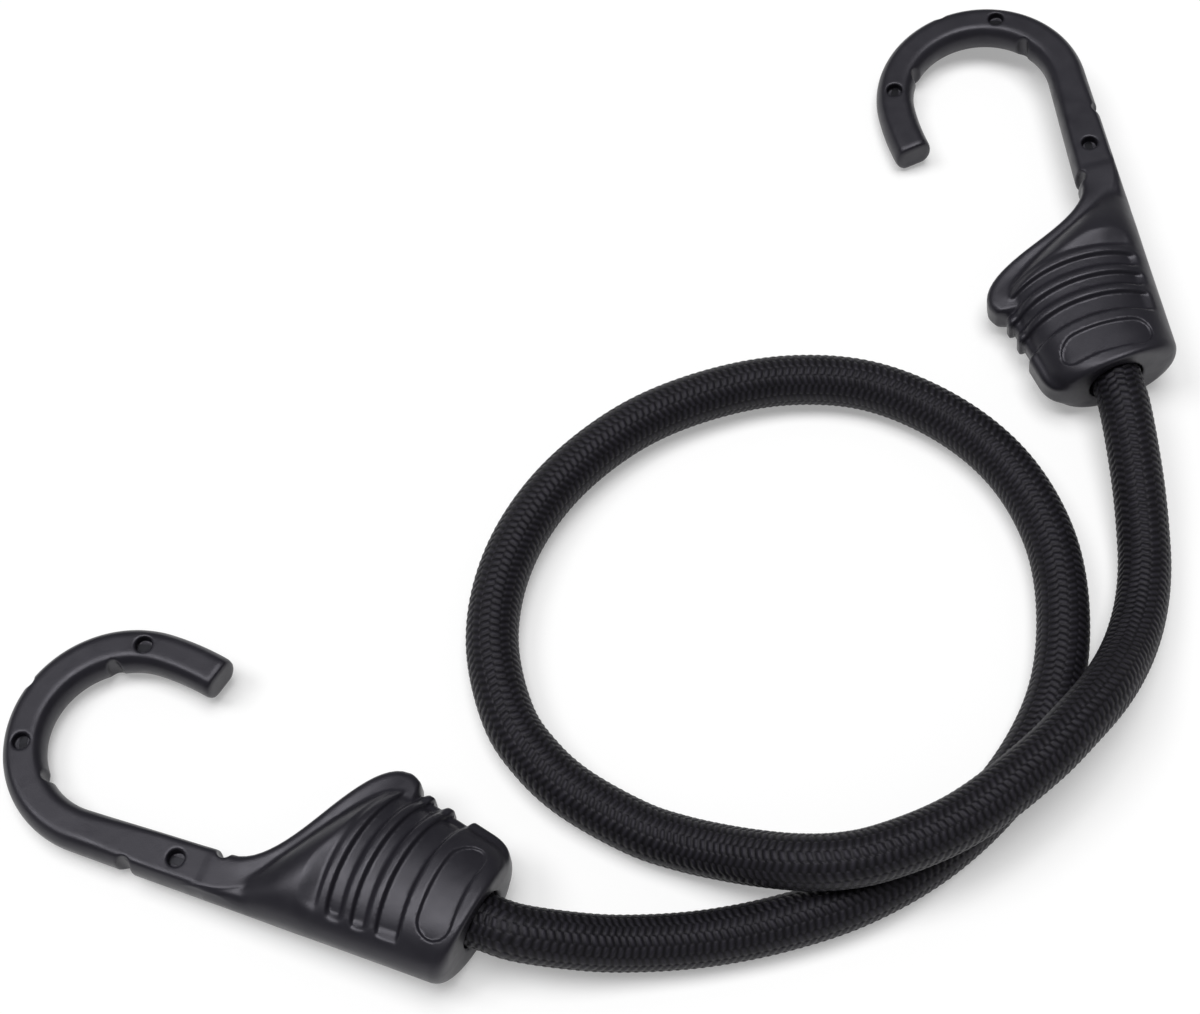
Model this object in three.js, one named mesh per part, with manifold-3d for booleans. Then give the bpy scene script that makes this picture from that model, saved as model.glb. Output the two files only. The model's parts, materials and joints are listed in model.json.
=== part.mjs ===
// A bungee cord: a braided rubber cord with a moulded hook on each end, lying in one loop.
// Millimetres, +Z up. The floor is z = 0 and the origin lies midway between the two hooks.
//
// Each hook is drawn in its own frame: x runs along the cord's axis from the mouth to the bend,
// y points to the side that the hook is open on, and z is the thickness, halved by z = 0.
import * as THREE from "three";
import { mergeVertices } from "three/addons/utils/BufferGeometryUtils.js";
import Module from "manifold-3d";

const wasm = await Module();
wasm.setup();

// Clearances
const clearance = 0.3; // between pieces that touch
const overshoot = 1; // how far a cutting tool reaches past the face that it cuts

// Cord
const cordDiameter = 8.5;
const jacketWall = 1;
const cordSides = 12;
const stepLength = 11; // between the rings of the cord
const leadLength = 56; // the stretch beside each hook that takes up its pull
const straightRun = 4; // by which the cord leaves each mouth before it turns
const floorGap = 0.05; // under the cord
const crossingGap = 0.6; // between the two strands where the cord passes over itself

// Crimp and the cord's end inside it
const crimpDiameter = 10.2;
const crimpWall = 0.9;
const crimpLength = 8;
const tailLength = 3; // cord that stands out behind the crimp
const tailSwell = 0.6; // by which the released tail is thicker than the cord, on the radius
const roundSides = 16;

// Hook: the bent limb
const limbWidth = 6.7;
const limbThickness = 5.8;
const limbFlat = 3.6; // width of the flat land on each face, round the bend
const shankFlat = 4.8; // and where the shank leaves the body
const limbSideSteps = 5; // round each side of the section
const bendRadius = 15.5; // to the middle of the limb
const bendCentreX = 64.7;
const shankOffset = 6.4; // from the cord's axis to the middle of the shank
const shankSwell = 1.16; // scale of the shank's section at the body
const tipLength = 10.3;
const tipRadius = 45;
const tipChamfer = 0.8;
const bendSteps = 16;
const tipSteps = 3;

// Hook: the body round the cord's end
const bodyThickness = 14.2;
const mouthTop = 11.7;
const mouthBottom = 11;
const mouthRound = 0.8; // of its edge on both faces
const wingRound = 4; // of its corner on the wing's side
const backRound = 2; // of its corner on the back
const mouthTilt = 11; // degrees by which its end leans to the back
const mouthPivot = 6.3; // y at which the leaning end crosses x = 0
const mouthFlare = 0.5;
const backTaper = 0.9; // by which the back draws in from the mouth to the shank
const socketLength = 10; // from the mouth to the crimp's pocket
const bulbFull = 24; // x up to which the body keeps its full thickness
const bulbEnd = 40; // x at which it has thinned down to the shank
const bulbSquareness = 2.2; // exponent of its oval section
const bulbSink = 0.35; // by which its end lies below the shank's thickness
const bulbSides = 18;
const mouthSteps = 4;
const shoulderX = 13;
const shoulderTop = 14.8;

// Hook: the wing
const wingThickness = 6.2;
const wingBevel = 1.2;
const apexX = 20.5;
const apexTop = 17.4;
const apexStart = 16.5;
const apexStartTop = 15.9;
const apexRound = 1.3; // reach of the curve that runs up to the apex
const wingFootX = 40;
const wingStart = 6; // x from which it stands out of the body
const wingSteps = 14;
const bevelSteps = 2;
const wingLean = 8; // reach of the curve that leaves the apex
const wingSweep = 9; // reach of the curve that runs into the shank

// Grip valleys, the ribs left between them and the bare panel beside them, on both faces
const gripRadius = 38; // of the arcs that they all follow
const gripMiddleY = -2.5; // where the arcs reach furthest towards the bend
const valleyX = [13.25, 17.25, 21.25]; // furthest reach of each open valley
const valleyLow = -9; // y at which they stop, short of the back
const valleyHigh = 20; // and at which they have run out over the wing's edge
const shortValleyX = 25.25; // the valley by the shank, closed at both ends
const shortValleyLow = -6.5;
const shortValleyHigh = 9;
const valleyWidth = 2.9;
const valleyDepth = 0.9;
const panelX = 6.3;
const panelLow = -6.7;
const panelHigh = 8.6;
const panelWidth = 5.2;
const panelDepth = 0.5;
const bandSteps = 3; // along each arc

// Steel core and the pin holes that held it in the mould
const coreDiameter = 3.2;
const coreSides = 8;
const coreTipGap = 3.2; // plastic ahead of the core's end
const tailBend = 12;
const tailTurn = 35; // degrees
const tailSteps = 4;
const tailLeg = 7;
const tailStartX = 40;
const pinDiameter = 2.7;
const slotDiameter = 2.2; // of the half-round slots in the limb's sides
const pinSides = 8;
const facePins = { tip: 78, bend: -22, shankX: 47.7 }; // degrees round the bend, and x on the shank
const innerSlots = { tip: 58, bend: -49, shankX: 41.2 };
const outerSlots = { bend: 12, shankX: 55.4 };

// Where the hooks lie: their mouths, and their turns in degrees. The bend of each hangs lower than
// its mouth, hook A leans to its open side, and hook B is turned over.
const hookA = { mouth: [84.5, 9.66], heading: 97.64, pitch: 1, roll: -9, turnedOver: false };
const hookB = { mouth: [-18.22, -82.67], heading: 160.11, pitch: 4, roll: 0, turnedOver: true };

// The cord's way from mouth to mouth: x, y, and its lift off the floor, where 1 lies on another strand.
const routePoints = [
  [86, -7, 0.26], [86.2, -15.6, 0.1], [85.8, -22.7, 0.03], [84.2, -30, 0.08], [81.1, -37.7, 0.27],
  [76, -46, 0.67], [70.2, -52.8, 0.91], [64.2, -58.8, 0.99], [51.4, -68.4, 1], [39.3, -73.4, 0.98],
  [33.4, -74.4, 0.92], [27.7, -74.1, 0.77], [22, -72.7, 0.5], [16.2, -70.8, 0.22], [10.2, -68.8, 0.05],
  [4.1, -66.5, 0], [-6.5, -60.2, 0], [-12, -54.8, 0], [-16, -48.6, 0], [-19.1, -34.9, 0],
  [-16.8, -20.7, 0], [-9.3, -7.3, 0], [3.1, 4.1, 0], [16.6, 10.5, 0], [30.2, 13.3, 0], [43.6, 12.1, 0],
  [56.6, 5.5, 0], [65.8, -4.1, 0], [71.2, -17.1, 0], [71.9, -31.4, 0], [68.9, -45.2, 0], [61.1, -58.6, 0],
  [49.6, -69.8, 0], [37, -77.2, 0], [24.9, -81.3, 0], [12.9, -83.7, 0.02], [1, -84.8, 0.17],
  [-6, -84.9, 0.36],
];

const materials = {
  plastic: new THREE.MeshStandardMaterial({ color: 0x3a3a40, roughness: 0.5, metalness: 0 }),
  jacket: new THREE.MeshStandardMaterial({ color: 0x1f1f22, roughness: 0.85, metalness: 0 }),
  rubber: new THREE.MeshStandardMaterial({ color: 0x8a7a5c, roughness: 0.8, metalness: 0 }),
  steel: new THREE.MeshStandardMaterial({ color: 0x8d9094, roughness: 0.35, metalness: 1 }),
};

const radians = THREE.MathUtils.degToRad;

// A solid from a geometry whose faces close, for joining and cutting.
function solid(geometry) {
  const bare = geometry.clone();
  for (const name of Object.keys(bare.attributes)) {
    if (name !== "position") bare.deleteAttribute(name);
  }
  const merged = mergeVertices(bare, 1e-4);
  const corners = merged.index.array;
  const triangles = [];
  for (let i = 0; i < corners.length; i += 3) {
    const [a, b, c] = corners.slice(i, i + 3);
    if (a !== b && b !== c && c !== a) triangles.push(a, b, c);
  }
  return new wasm.Manifold(new wasm.Mesh({
    numProp: 3,
    vertProperties: new Float32Array(merged.attributes.position.array),
    triVerts: new Uint32Array(triangles),
  }));
}

function geometryOf(body) {
  const mesh = body.getMesh();
  const geometry = new THREE.BufferGeometry();
  geometry.setAttribute("position", new THREE.BufferAttribute(mesh.vertProperties, 3));
  geometry.setIndex(new THREE.BufferAttribute(mesh.triVerts, 1));
  return geometry;
}

// Joins rings of equal count into one closed skin, with a flat cap on each end.
function skin(rings) {
  const count = rings[0].length;
  const positions = rings.flat().flatMap((p) => [p.x, p.y, p.z]);
  const index = [];
  for (let r = 0; r + 1 < rings.length; r += 1) {
    for (let i = 0; i < count; i += 1) {
      const a = r * count + i;
      const b = r * count + (i + 1) % count;
      index.push(a, b, b + count, a, b + count, a + count);
    }
  }
  const last = (rings.length - 1) * count;
  for (let i = 1; i + 1 < count; i += 1) {
    index.push(0, i + 1, i);
    index.push(last, last + i, last + i + 1);
  }
  const geometry = new THREE.BufferGeometry();
  geometry.setAttribute("position", new THREE.Float32BufferAttribute(positions, 3));
  geometry.setIndex(index);
  return geometry;
}

// Sweeps sections, one per point, along points in the hook's middle plane. A section's x lies
// across the plane's line and its y along z.
function sweep(sections, points) {
  const rings = points.map((point, i) => {
    const before = points[Math.max(i - 1, 0)];
    const after = points[Math.min(i + 1, points.length - 1)];
    const into = point.clone().sub(before).normalize();
    const out = after.clone().sub(point).normalize();
    const along = into.clone().add(out).normalize();
    const mitre = i > 0 && i + 1 < points.length ? 1 / along.dot(out) : 1;
    return sections[i].map((s) => new THREE.Vector3(
      point.x - along.y * s.x * mitre,
      point.y + along.x * s.x * mitre,
      s.y,
    ));
  });
  return skin(rings);
}

function circle(radius, sides) {
  return Array.from({ length: sides }, (_, i) => {
    const angle = ((i + 0.5) / sides) * Math.PI * 2;
    return new THREE.Vector2(radius * Math.cos(angle), radius * Math.sin(angle));
  });
}

// The limb's section: flat lands on both faces, and round sides.
function limbSection(flat, scale) {
  const land = flat / 2;
  const right = Array.from({ length: limbSideSteps + 1 }, (_, i) => {
    const angle = Math.PI * (i / limbSideSteps - 0.5);
    const across = land + (limbWidth / 2 - land) * Math.cos(angle);
    return new THREE.Vector2(across, (limbThickness / 2) * Math.sin(angle));
  });
  return [...right, ...right.map((p) => p.clone().negate())].map((p) => p.multiplyScalar(scale));
}

const bendCentre = new THREE.Vector2(bendCentreX, bendRadius - shankOffset);

// Points along an arc, both ends included; angles in radians.
function arc(centre, radius, from, to, steps) {
  return Array.from({ length: steps + 1 }, (_, i) => {
    const angle = THREE.MathUtils.lerp(from, to, i / steps);
    return new THREE.Vector2(Math.cos(angle), Math.sin(angle)).multiplyScalar(radius).add(centre);
  });
}

// The line down the middle of the limb, from startX on the shank to cutBack short of the tip.
function limbLine(startX, cutBack) {
  const quarter = Math.PI / 2;
  const tipCentre = new THREE.Vector2(bendCentre.x, bendCentre.y + bendRadius - tipRadius);
  const tipEnd = quarter + (tipLength - cutBack) / tipRadius;
  return [
    new THREE.Vector2(startX, -shankOffset),
    ...arc(bendCentre, bendRadius, -quarter, quarter, bendSteps),
    ...arc(tipCentre, tipRadius, quarter, tipEnd, tipSteps).slice(1),
  ];
}

function limb() {
  const line = limbLine(bulbEnd - limbWidth, 0);
  const end = line.at(-1);
  const before = line.at(-2);
  const neck = end.clone().sub(before).normalize().multiplyScalar(-tipChamfer).add(end);
  const points = [...line.slice(0, -1), neck, end];
  const sections = points.map(() => limbSection(limbFlat, 1));
  sections[0] = limbSection(shankFlat, shankSwell);
  sections[points.length - 1] = limbSection(limbFlat, 1 - (2 * tipChamfer) / limbWidth);
  return sweep(sections, points);
}

// The top edge of the wing, from near the mouth over the apex to the shank, drawn in by inset.
function wingEdge(inset) {
  const foot = limbWidth / 2 - shankOffset;
  const path = new THREE.Path();
  path.moveTo(wingStart, THREE.MathUtils.mapLinear(wingStart, 0, apexStart, mouthTop, apexStartTop));
  path.lineTo(apexStart, apexStartTop);
  path.quadraticCurveTo(apexX - apexRound, apexTop, apexX, apexTop);
  path.bezierCurveTo(apexX + wingLean, apexTop, wingFootX - wingSweep, foot, wingFootX, foot);
  const points = path.getSpacedPoints(wingSteps);
  return points.map((point, i) => {
    const before = points[Math.max(i - 1, 0)];
    const after = points[Math.min(i + 1, points.length - 1)];
    const along = after.clone().sub(before).normalize();
    return new THREE.Vector2(point.x + along.y * inset, point.y - along.x * inset);
  });
}

// The wing's plate, drawn in by inset on its edge and both faces.
function wing(inset) {
  const edge = wingEdge(wingBevel + inset);
  const shape = new THREE.Shape([
    new THREE.Vector2(edge[0].x, -shankOffset),
    new THREE.Vector2(edge.at(-1).x, -shankOffset),
    ...edge.reverse(),
  ]);
  const geometry = new THREE.ExtrudeGeometry(shape, {
    depth: wingThickness - 2 * (wingBevel + inset),
    bevelThickness: wingBevel,
    bevelSize: wingBevel,
    bevelSegments: bevelSteps,
  });
  return geometry.translate(0, 0, wingBevel + inset - wingThickness / 2);
}

// The bulb's half thickness at x, easing down to the shank's.
function bulbHalfThickness(x) {
  const t = THREE.MathUtils.smoothstep(x, bulbFull, bulbEnd);
  return THREE.MathUtils.lerp(bodyThickness, limbThickness - bulbSink, t) / 2;
}

// The bulb's upper edge: beside the wing's to the shoulder, then down into the shank.
function bulbTop(x) {
  const foot = limbWidth / 2 - shankOffset;
  if (x <= shoulderX) return THREE.MathUtils.lerp(mouthTop, shoulderTop, x / shoulderX);
  const t = THREE.MathUtils.smoothstep(x, shoulderX, bulbEnd);
  return THREE.MathUtils.lerp(shoulderTop, foot, t);
}

function bulbBottom(x) {
  return -mouthBottom + (backTaper * x) / bulbEnd;
}

// How far an edge rounded by radius is drawn in at a distance x from the mouth.
function rounded(radius, x) {
  const s = 1 - Math.min(x / radius, 1);
  return radius * (1 - Math.sqrt(1 - s * s));
}

// Even steps from one value to another, without the first.
function between(from, to, steps) {
  return Array.from({ length: steps }, (_, i) => THREE.MathUtils.lerp(from, to, (i + 1) / steps));
}

// The body's oval loft, drawn in by inset all round. Its end leans, and the rings behind lean less and less.
function bulb(inset) {
  const stations = [
    0,
    ...between(0, 1, mouthSteps).map((s) => s * s * wingRound),
    ...between(wingRound, shoulderX, 3),
    ...between(shoulderX, bulbFull, 2),
    ...between(bulbFull, bulbEnd, 5),
  ];
  const power = 2 / bulbSquareness;
  const rings = stations.map((x) => {
    const top = bulbTop(x) - inset - rounded(wingRound, x);
    const bottom = bulbBottom(x) + inset + rounded(backRound, x);
    const half = bulbHalfThickness(x) - inset - rounded(mouthRound, x);
    const lean = Math.tan(radians(mouthTilt)) * (1 - Math.min(x / shoulderX, 1));
    return circle(1, bulbSides).map((p) => {
      const y = (top + bottom) / 2 + ((top - bottom) / 2) * Math.sign(p.x) * Math.abs(p.x) ** power;
      const z = half * Math.sign(p.y) * Math.abs(p.y) ** power;
      return new THREE.Vector3(x - lean * (y - mouthPivot), y, z);
    });
  });
  return skin(rings);
}

// A band along one of the grip's arcs between two heights, with round ends, as a wall through the whole
// thickness. Its middle line reaches furthest at reachX.
function bandWall(reachX, low, high, width) {
  const half = width / 2;
  const centre = new THREE.Vector2(reachX - gripRadius, gripMiddleY);
  const from = Math.asin((low + half - gripMiddleY) / gripRadius);
  const to = Math.asin((high - half - gripMiddleY) / gripRadius);
  const [start, end] = arc(centre, gripRadius, from, to, 1);
  const shape = new THREE.Shape();
  shape.absarc(centre.x, centre.y, gripRadius + half, from, to, false);
  shape.absarc(end.x, end.y, half, to, to + Math.PI, false);
  shape.absarc(centre.x, centre.y, gripRadius - half, to, from, true);
  shape.absarc(start.x, start.y, half, from + Math.PI, from + 2 * Math.PI, false);
  const depth = bodyThickness + 2 * overshoot;
  const geometry = new THREE.ExtrudeGeometry(shape, { depth, bevelEnabled: false, curveSegments: bandSteps });
  return geometry.translate(0, 0, -depth / 2);
}

// A solid of revolution about the cord's axis, from [x, radius] pairs.
function turned(profile, sides) {
  const points = profile.map(([x, radius]) => new THREE.Vector2(radius, x));
  return new THREE.LatheGeometry(points, sides).rotateZ(-Math.PI / 2);
}

const cordRadius = cordDiameter / 2;
const crimpRadius = crimpDiameter / 2;
const pocketStart = socketLength;
const pocketEnd = pocketStart + crimpLength + tailLength + 3 * clearance;

// The hollow for the cord's end: a flared mouth, a socket and the crimp's pocket.
function socket() {
  const bore = cordRadius + clearance;
  const pocket = crimpRadius + clearance;
  return turned([
    [-overshoot, 0],
    [-overshoot, bore + mouthFlare],
    [0, bore + mouthFlare],
    [mouthFlare, bore],
    [pocketStart, bore],
    [pocketStart, pocket],
    [pocketEnd, pocket],
    [pocketEnd, 0],
  ], roundSides);
}

// The steel core's line: from near the tip round the bend and along the shank, then up into the wing.
function coreLine(extra) {
  const down = -Math.PI / 2;
  const turn = radians(tailTurn);
  const centre = new THREE.Vector2(tailStartX, tailBend - shankOffset);
  const run = limbLine(tailStartX, coreTipGap - extra).reverse();
  const bend = arc(centre, tailBend, down, down - turn, tailSteps).slice(1);
  const leg = new THREE.Vector2(-Math.cos(turn), Math.sin(turn)).multiplyScalar(tailLeg + extra);
  return [...run, ...bend, bend.at(-1).clone().add(leg)];
}

function core(extra) {
  const line = coreLine(extra);
  return sweep(line.map(() => circle(coreDiameter / 2 + extra, coreSides)), line);
}

// A round post along z through the limb's whole thickness.
function post(point, diameter) {
  const length = shankSwell * limbThickness + 2 * overshoot;
  const cylinder = new THREE.CylinderGeometry(diameter / 2, diameter / 2, length, pinSides);
  return cylinder.rotateX(Math.PI / 2).translate(point.x, point.y, 0);
}

// The point at an angle round the bend, in degrees, moved out from the limb's middle by offset.
function onBend(degrees, offset) {
  const angle = radians(degrees);
  const outward = new THREE.Vector2(Math.cos(angle), Math.sin(angle));
  return outward.multiplyScalar(bendRadius + offset).add(bendCentre);
}

// The pin holes in the faces, and the slots in the inner and the outer side of the limb.
function pinHoles() {
  const side = limbWidth / 2;
  const onShank = (x, offset) => new THREE.Vector2(x, -shankOffset - offset);
  const holes = [onBend(facePins.tip, 0), onBend(facePins.bend, 0), onShank(facePins.shankX, 0)];
  const slots = [
    onBend(innerSlots.tip, -side), onBend(innerSlots.bend, -side), onShank(innerSlots.shankX, -side),
    onBend(outerSlots.bend, side), onShank(outerSlots.shankX, side),
  ];
  return [...holes.map((p) => post(p, pinDiameter)), ...slots.map((p) => post(p, slotDiameter))];
}

function hookShell() {
  let body = solid(bulb(0)).add(solid(wing(0))).add(solid(limb()));
  const valleyFloor = solid(bulb(valleyDepth)).add(solid(wing(valleyDepth)));
  const valleys = valleyX.map((x) => bandWall(x, valleyLow, valleyHigh, valleyWidth));
  valleys.push(bandWall(shortValleyX, shortValleyLow, shortValleyHigh, valleyWidth));
  for (const valley of valleys) body = body.subtract(solid(valley).subtract(valleyFloor));
  const panel = solid(bandWall(panelX, panelLow, panelHigh, panelWidth));
  body = body.subtract(panel.subtract(solid(bulb(panelDepth))));
  body = body.subtract(solid(socket())).subtract(solid(core(clearance)));
  for (const pin of pinHoles()) body = body.subtract(solid(pin));
  return geometryOf(body);
}

// The crimped ring that keeps the cord's end in its pocket.
const crimpStart = pocketStart + clearance;
const crimpEnd = crimpStart + crimpLength;
const crimpBore = crimpRadius - crimpWall;

function crimp() {
  return turned([
    [crimpStart, crimpBore],
    [crimpStart, crimpRadius],
    [crimpEnd, crimpRadius],
    [crimpEnd, crimpBore],
    [crimpStart, crimpBore],
  ], roundSides);
}

// The cord's end from the mouth inwards: pinched by the crimp, with a tail that swells behind it.
function cordEnd() {
  const neck = crimpBore - clearance;
  const tailStart = crimpEnd + clearance;
  return turned([
    [0, 0],
    [0, cordRadius],
    [pocketStart, cordRadius],
    [crimpStart, neck],
    [crimpEnd, neck],
    [tailStart, cordRadius + tailSwell],
    [tailStart + tailLength, cordRadius + tailSwell],
    [tailStart + tailLength, 0],
  ], roundSides);
}

function namedMesh(name, geometry, material) {
  const mesh = new THREE.Mesh(geometry, material);
  mesh.name = name;
  return mesh;
}

// One hook with the cord's end in it, standing on the floor by its lowest point.
function hookGroup(letter, place) {
  const group = new THREE.Group();
  group.add(
    namedMesh(`hook_${letter}`, hookShell(), materials.plastic),
    namedMesh(`hook_core_${letter}`, core(0), materials.steel),
    namedMesh(`crimp_${letter}`, crimp(), materials.steel),
    namedMesh(`cord_end_${letter}`, cordEnd(), materials.jacket),
  );
  const flip = place.turnedOver ? 180 : 0;
  group.rotation.set(radians(place.roll + flip), radians(place.pitch), radians(place.heading), "ZYX");
  group.position.set(...place.mouth, 0);
  group.position.z = -new THREE.Box3().setFromObject(group, true).min.z;
  group.updateMatrixWorld(true);
  return group;
}

// The cord's middle line from one mouth to the other.
function cordRoute(groupA, groupB) {
  const lying = routePoints.map(([x, y, lift]) => {
    const height = floorGap + cordRadius + lift * (cordDiameter + crossingGap);
    return new THREE.Vector3(x, y, height);
  });
  const atMouth = (group) => group.localToWorld(new THREE.Vector3(0, 0, 0));
  const outside = (group) => group.localToWorld(new THREE.Vector3(-straightRun, 0, 0));
  const line = [atMouth(groupA), outside(groupA), ...lying, outside(groupB), atMouth(groupB)];
  const route = new THREE.CatmullRomCurve3(line);
  route.arcLengthDivisions = 1000;
  return route;
}

// The stretch of a curve between two distances along it.
class Stretch extends THREE.Curve {
  constructor(curve, from, to) {
    super();
    this.curve = curve;
    this.from = from / curve.getLength();
    this.to = to / curve.getLength();
  }

  getPoint(t, target) {
    return this.curve.getPointAt(THREE.MathUtils.lerp(this.from, this.to, t), target);
  }
}

// The braided jacket and the rubber inside it, along one stretch of the route.
function cordPieces(name, route, from, to) {
  const extrudePath = new Stretch(route, from, to);
  const steps = Math.ceil((to - from) / stepLength);
  const bore = cordRadius - jacketWall;
  const ring = new THREE.Shape(circle(cordRadius, cordSides));
  ring.holes.push(new THREE.Path(circle(bore, cordSides)));
  const disc = new THREE.Shape(circle(bore - clearance, cordSides));
  return [
    namedMesh(`jacket_${name}`, new THREE.ExtrudeGeometry(ring, { steps, extrudePath }), materials.jacket),
    namedMesh(`rubber_${name}`, new THREE.ExtrudeGeometry(disc, { steps, extrudePath }), materials.rubber),
  ];
}

// The least gap between strands of the cord that lie well apart along it.
function leastCrossingGap(route) {
  const points = route.getSpacedPoints(Math.ceil(route.getLength()));
  const apart = Math.ceil(leadLength);
  let least = Infinity;
  for (let i = 0; i < points.length; i += 1) {
    for (let j = i + apart; j < points.length; j += 1) {
      least = Math.min(least, points[i].distanceTo(points[j]));
    }
  }
  return least - cordDiameter;
}

const part = new THREE.Group();
const endA = hookGroup("a", hookA);
const endB = hookGroup("b", hookB);
const route = cordRoute(endA, endB);
const cordLength = route.getLength();
const loopStart = leadLength + 2 * clearance;
part.add(endA, endB);
part.add(...cordPieces("lead_a", route, clearance, clearance + leadLength));
part.add(...cordPieces("loop", route, loopStart, cordLength - loopStart));
part.add(...cordPieces("lead_b", route, cordLength - clearance - leadLength, cordLength - clearance));
console.log(`cord ${cordLength.toFixed(1)} mm between the mouths`);
console.log(`least gap of the cord to itself ${leastCrossingGap(route).toFixed(2)} mm`);

export default part;
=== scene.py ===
# Bungee cord: a braided elastic cord in one loose loop, with a moulded hook on each end.
import json
import math
import bpy
import numpy as np
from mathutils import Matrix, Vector


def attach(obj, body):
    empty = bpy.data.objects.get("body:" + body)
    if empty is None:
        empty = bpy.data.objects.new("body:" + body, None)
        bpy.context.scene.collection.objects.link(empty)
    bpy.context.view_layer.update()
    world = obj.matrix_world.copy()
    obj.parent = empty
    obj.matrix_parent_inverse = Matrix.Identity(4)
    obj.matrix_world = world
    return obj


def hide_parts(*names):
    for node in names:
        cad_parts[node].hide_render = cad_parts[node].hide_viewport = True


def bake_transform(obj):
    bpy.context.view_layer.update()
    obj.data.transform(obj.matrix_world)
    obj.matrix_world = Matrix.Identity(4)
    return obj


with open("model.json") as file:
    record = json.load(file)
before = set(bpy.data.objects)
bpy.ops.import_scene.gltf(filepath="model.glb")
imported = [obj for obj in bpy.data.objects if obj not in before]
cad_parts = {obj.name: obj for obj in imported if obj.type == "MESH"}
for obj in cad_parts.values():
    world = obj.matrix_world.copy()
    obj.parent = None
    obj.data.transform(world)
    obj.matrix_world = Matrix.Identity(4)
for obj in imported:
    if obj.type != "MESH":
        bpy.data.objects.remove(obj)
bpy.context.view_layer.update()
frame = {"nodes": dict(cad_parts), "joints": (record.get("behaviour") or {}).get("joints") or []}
mm = 0.001
print("frame loaded:", len(frame["nodes"]), "nodes")

# The camera looks down at the floor, as a product photo on a table is taken.
shot = {
    "place": (-0.00198, -0.18284, 0.3276),      # metres
    "elevation": 62,            # degrees above the floor
    "focalPixels": 2235,
    "imageWidth": 1200,
    "sensor": 36,               # mm
    "clipStart": 0.01,          # metres
}


def setCamera():
    data = bpy.data.cameras.new("productCamera")
    data.sensor_width = shot["sensor"]
    data.lens = shot["sensor"] * shot["focalPixels"] / shot["imageWidth"]
    data.clip_start = shot["clipStart"]
    camera = bpy.data.objects.new("productCamera", data)
    camera.location = shot["place"]
    camera.rotation_euler = (math.radians(90 - shot["elevation"]), 0, 0)
    bpy.context.scene.collection.objects.link(camera)
    bpy.context.scene.camera = camera


setCamera()
print("camera set")


def turn(axis, degrees):
    c, s = math.cos(math.radians(degrees)), math.sin(math.radians(degrees))
    if axis == "x":
        return np.array([[1, 0, 0], [0, c, -s], [0, s, c]])
    if axis == "y":
        return np.array([[c, 0, s], [0, 1, 0], [-s, 0, c]])
    return np.array([[c, -s, 0], [s, c, 0], [0, 0, 1]])


# Each hook's mouth and axis come from its swivel, and its roll about that axis from the photo.
hookRoll = {"a": -9, "b": 180}      # degrees; hook B lies turned over


def hookPlace(letter):
    swivel = next(j for j in frame["joints"] if j["name"] == "swivel_" + letter)
    axis = np.array(swivel["axis"], float)
    axis /= np.linalg.norm(axis)
    heading = math.degrees(math.atan2(axis[1], axis[0]))
    pitch = math.degrees(math.asin(-axis[2]))
    spin = turn("z", heading) @ turn("y", pitch) @ turn("x", hookRoll[letter])
    return {"mouth": np.array(swivel["pos_m"], float), "axis": axis, "spin": spin}


places = {letter: hookPlace(letter) for letter in "ab"}


def meshObject(name, points, faces, material, smooth=True):
    mesh = bpy.data.meshes.new(name)
    mesh.from_pydata(points.tolist(), [], faces)
    mesh.validate()
    mesh.polygons.foreach_set("use_smooth", [smooth] * len(mesh.polygons))
    mesh.materials.append(material)
    piece = bpy.data.objects.new(name, mesh)
    bpy.context.scene.collection.objects.link(piece)
    return piece


def newMaterial(name):
    material = bpy.data.materials.new(name)
    material.use_nodes = True
    tree = material.node_tree
    return material, tree, tree.nodes["Principled BSDF"]


def noiseNode(tree, scale, detail):
    spot = tree.nodes.new("ShaderNodeTexCoord")
    noise = tree.nodes.new("ShaderNodeTexNoise")
    noise.inputs["Scale"].default_value = scale
    noise.inputs["Detail"].default_value = detail
    tree.links.new(spot.outputs["Object"], noise.inputs["Vector"])
    return noise.outputs["Fac"]


noiseSpan = (0.3, 0.7)      # the part of a noise's range that a ramp spreads out


def rampNode(tree, source, low, high, span=noiseSpan):
    # From low to high, which are colours or plain numbers.
    ramp = tree.nodes.new("ShaderNodeValToRGB")
    for element, position, shade in zip(ramp.color_ramp.elements, span, (low, high)):
        element.position = position
        element.color = (*shade, 1) if isinstance(shade, tuple) else (shade, shade, shade, 1)
    tree.links.new(source, ramp.inputs["Fac"])
    return ramp.outputs["Color"]


def bumpNode(tree, source, strength, distance, below=None):
    bump = tree.nodes.new("ShaderNodeBump")
    bump.inputs["Strength"].default_value = strength
    bump.inputs["Distance"].default_value = distance
    tree.links.new(source, bump.inputs["Height"])
    if below is not None:
        tree.links.new(below, bump.inputs["Normal"])
    return bump.outputs["Normal"]


# Braided jacket: columns of slanted floats round the cord, in real relief, with painted shade that darkens the
# seams between the floats.
# A noise is given as scale and detail, a bump as strength and distance in metres.
braid = {
    "diameter": 8.5,            # mm, over the floats
    "columns": 16,              # round the cord
    "pitch": 1.2,               # mm between floats along the cord
    "slant": 0.35,              # pitches that a float climbs across its column
    "depth": 0.1,               # mm from the floats' tops down to the seams
    "sideDrop": 0.5,            # share of its height that a float loses at its column's edges
    "sidePower": 6,             # higher keeps it level for longer
    "perColumn": 6, "perPitch": 5, "coarsePer": 3,      # mesh points
    # The seam colour is painted shade: the colour darkens from the floats' tops down into the seams.
    "crest": (0.0128, 0.0119, 0.0163), "paintedSeamShade": (0.0012, 0.0011, 0.0017), "seamToCrest": (0.1, 0.85),
    "mottleNoise": (420, 3), "mottle": (0.72, 1.25),
    "yarnBump": (0.5, 0.0002),
    "hairNoise": (5200, 2), "hairBump": (0.3, 0.0001),
    "roughness": 0.52, "specular": 0.24, "tint": (0.94, 0.91, 1),
    "sheen": 0.02, "sheenRoughness": 0.4,
}


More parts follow.
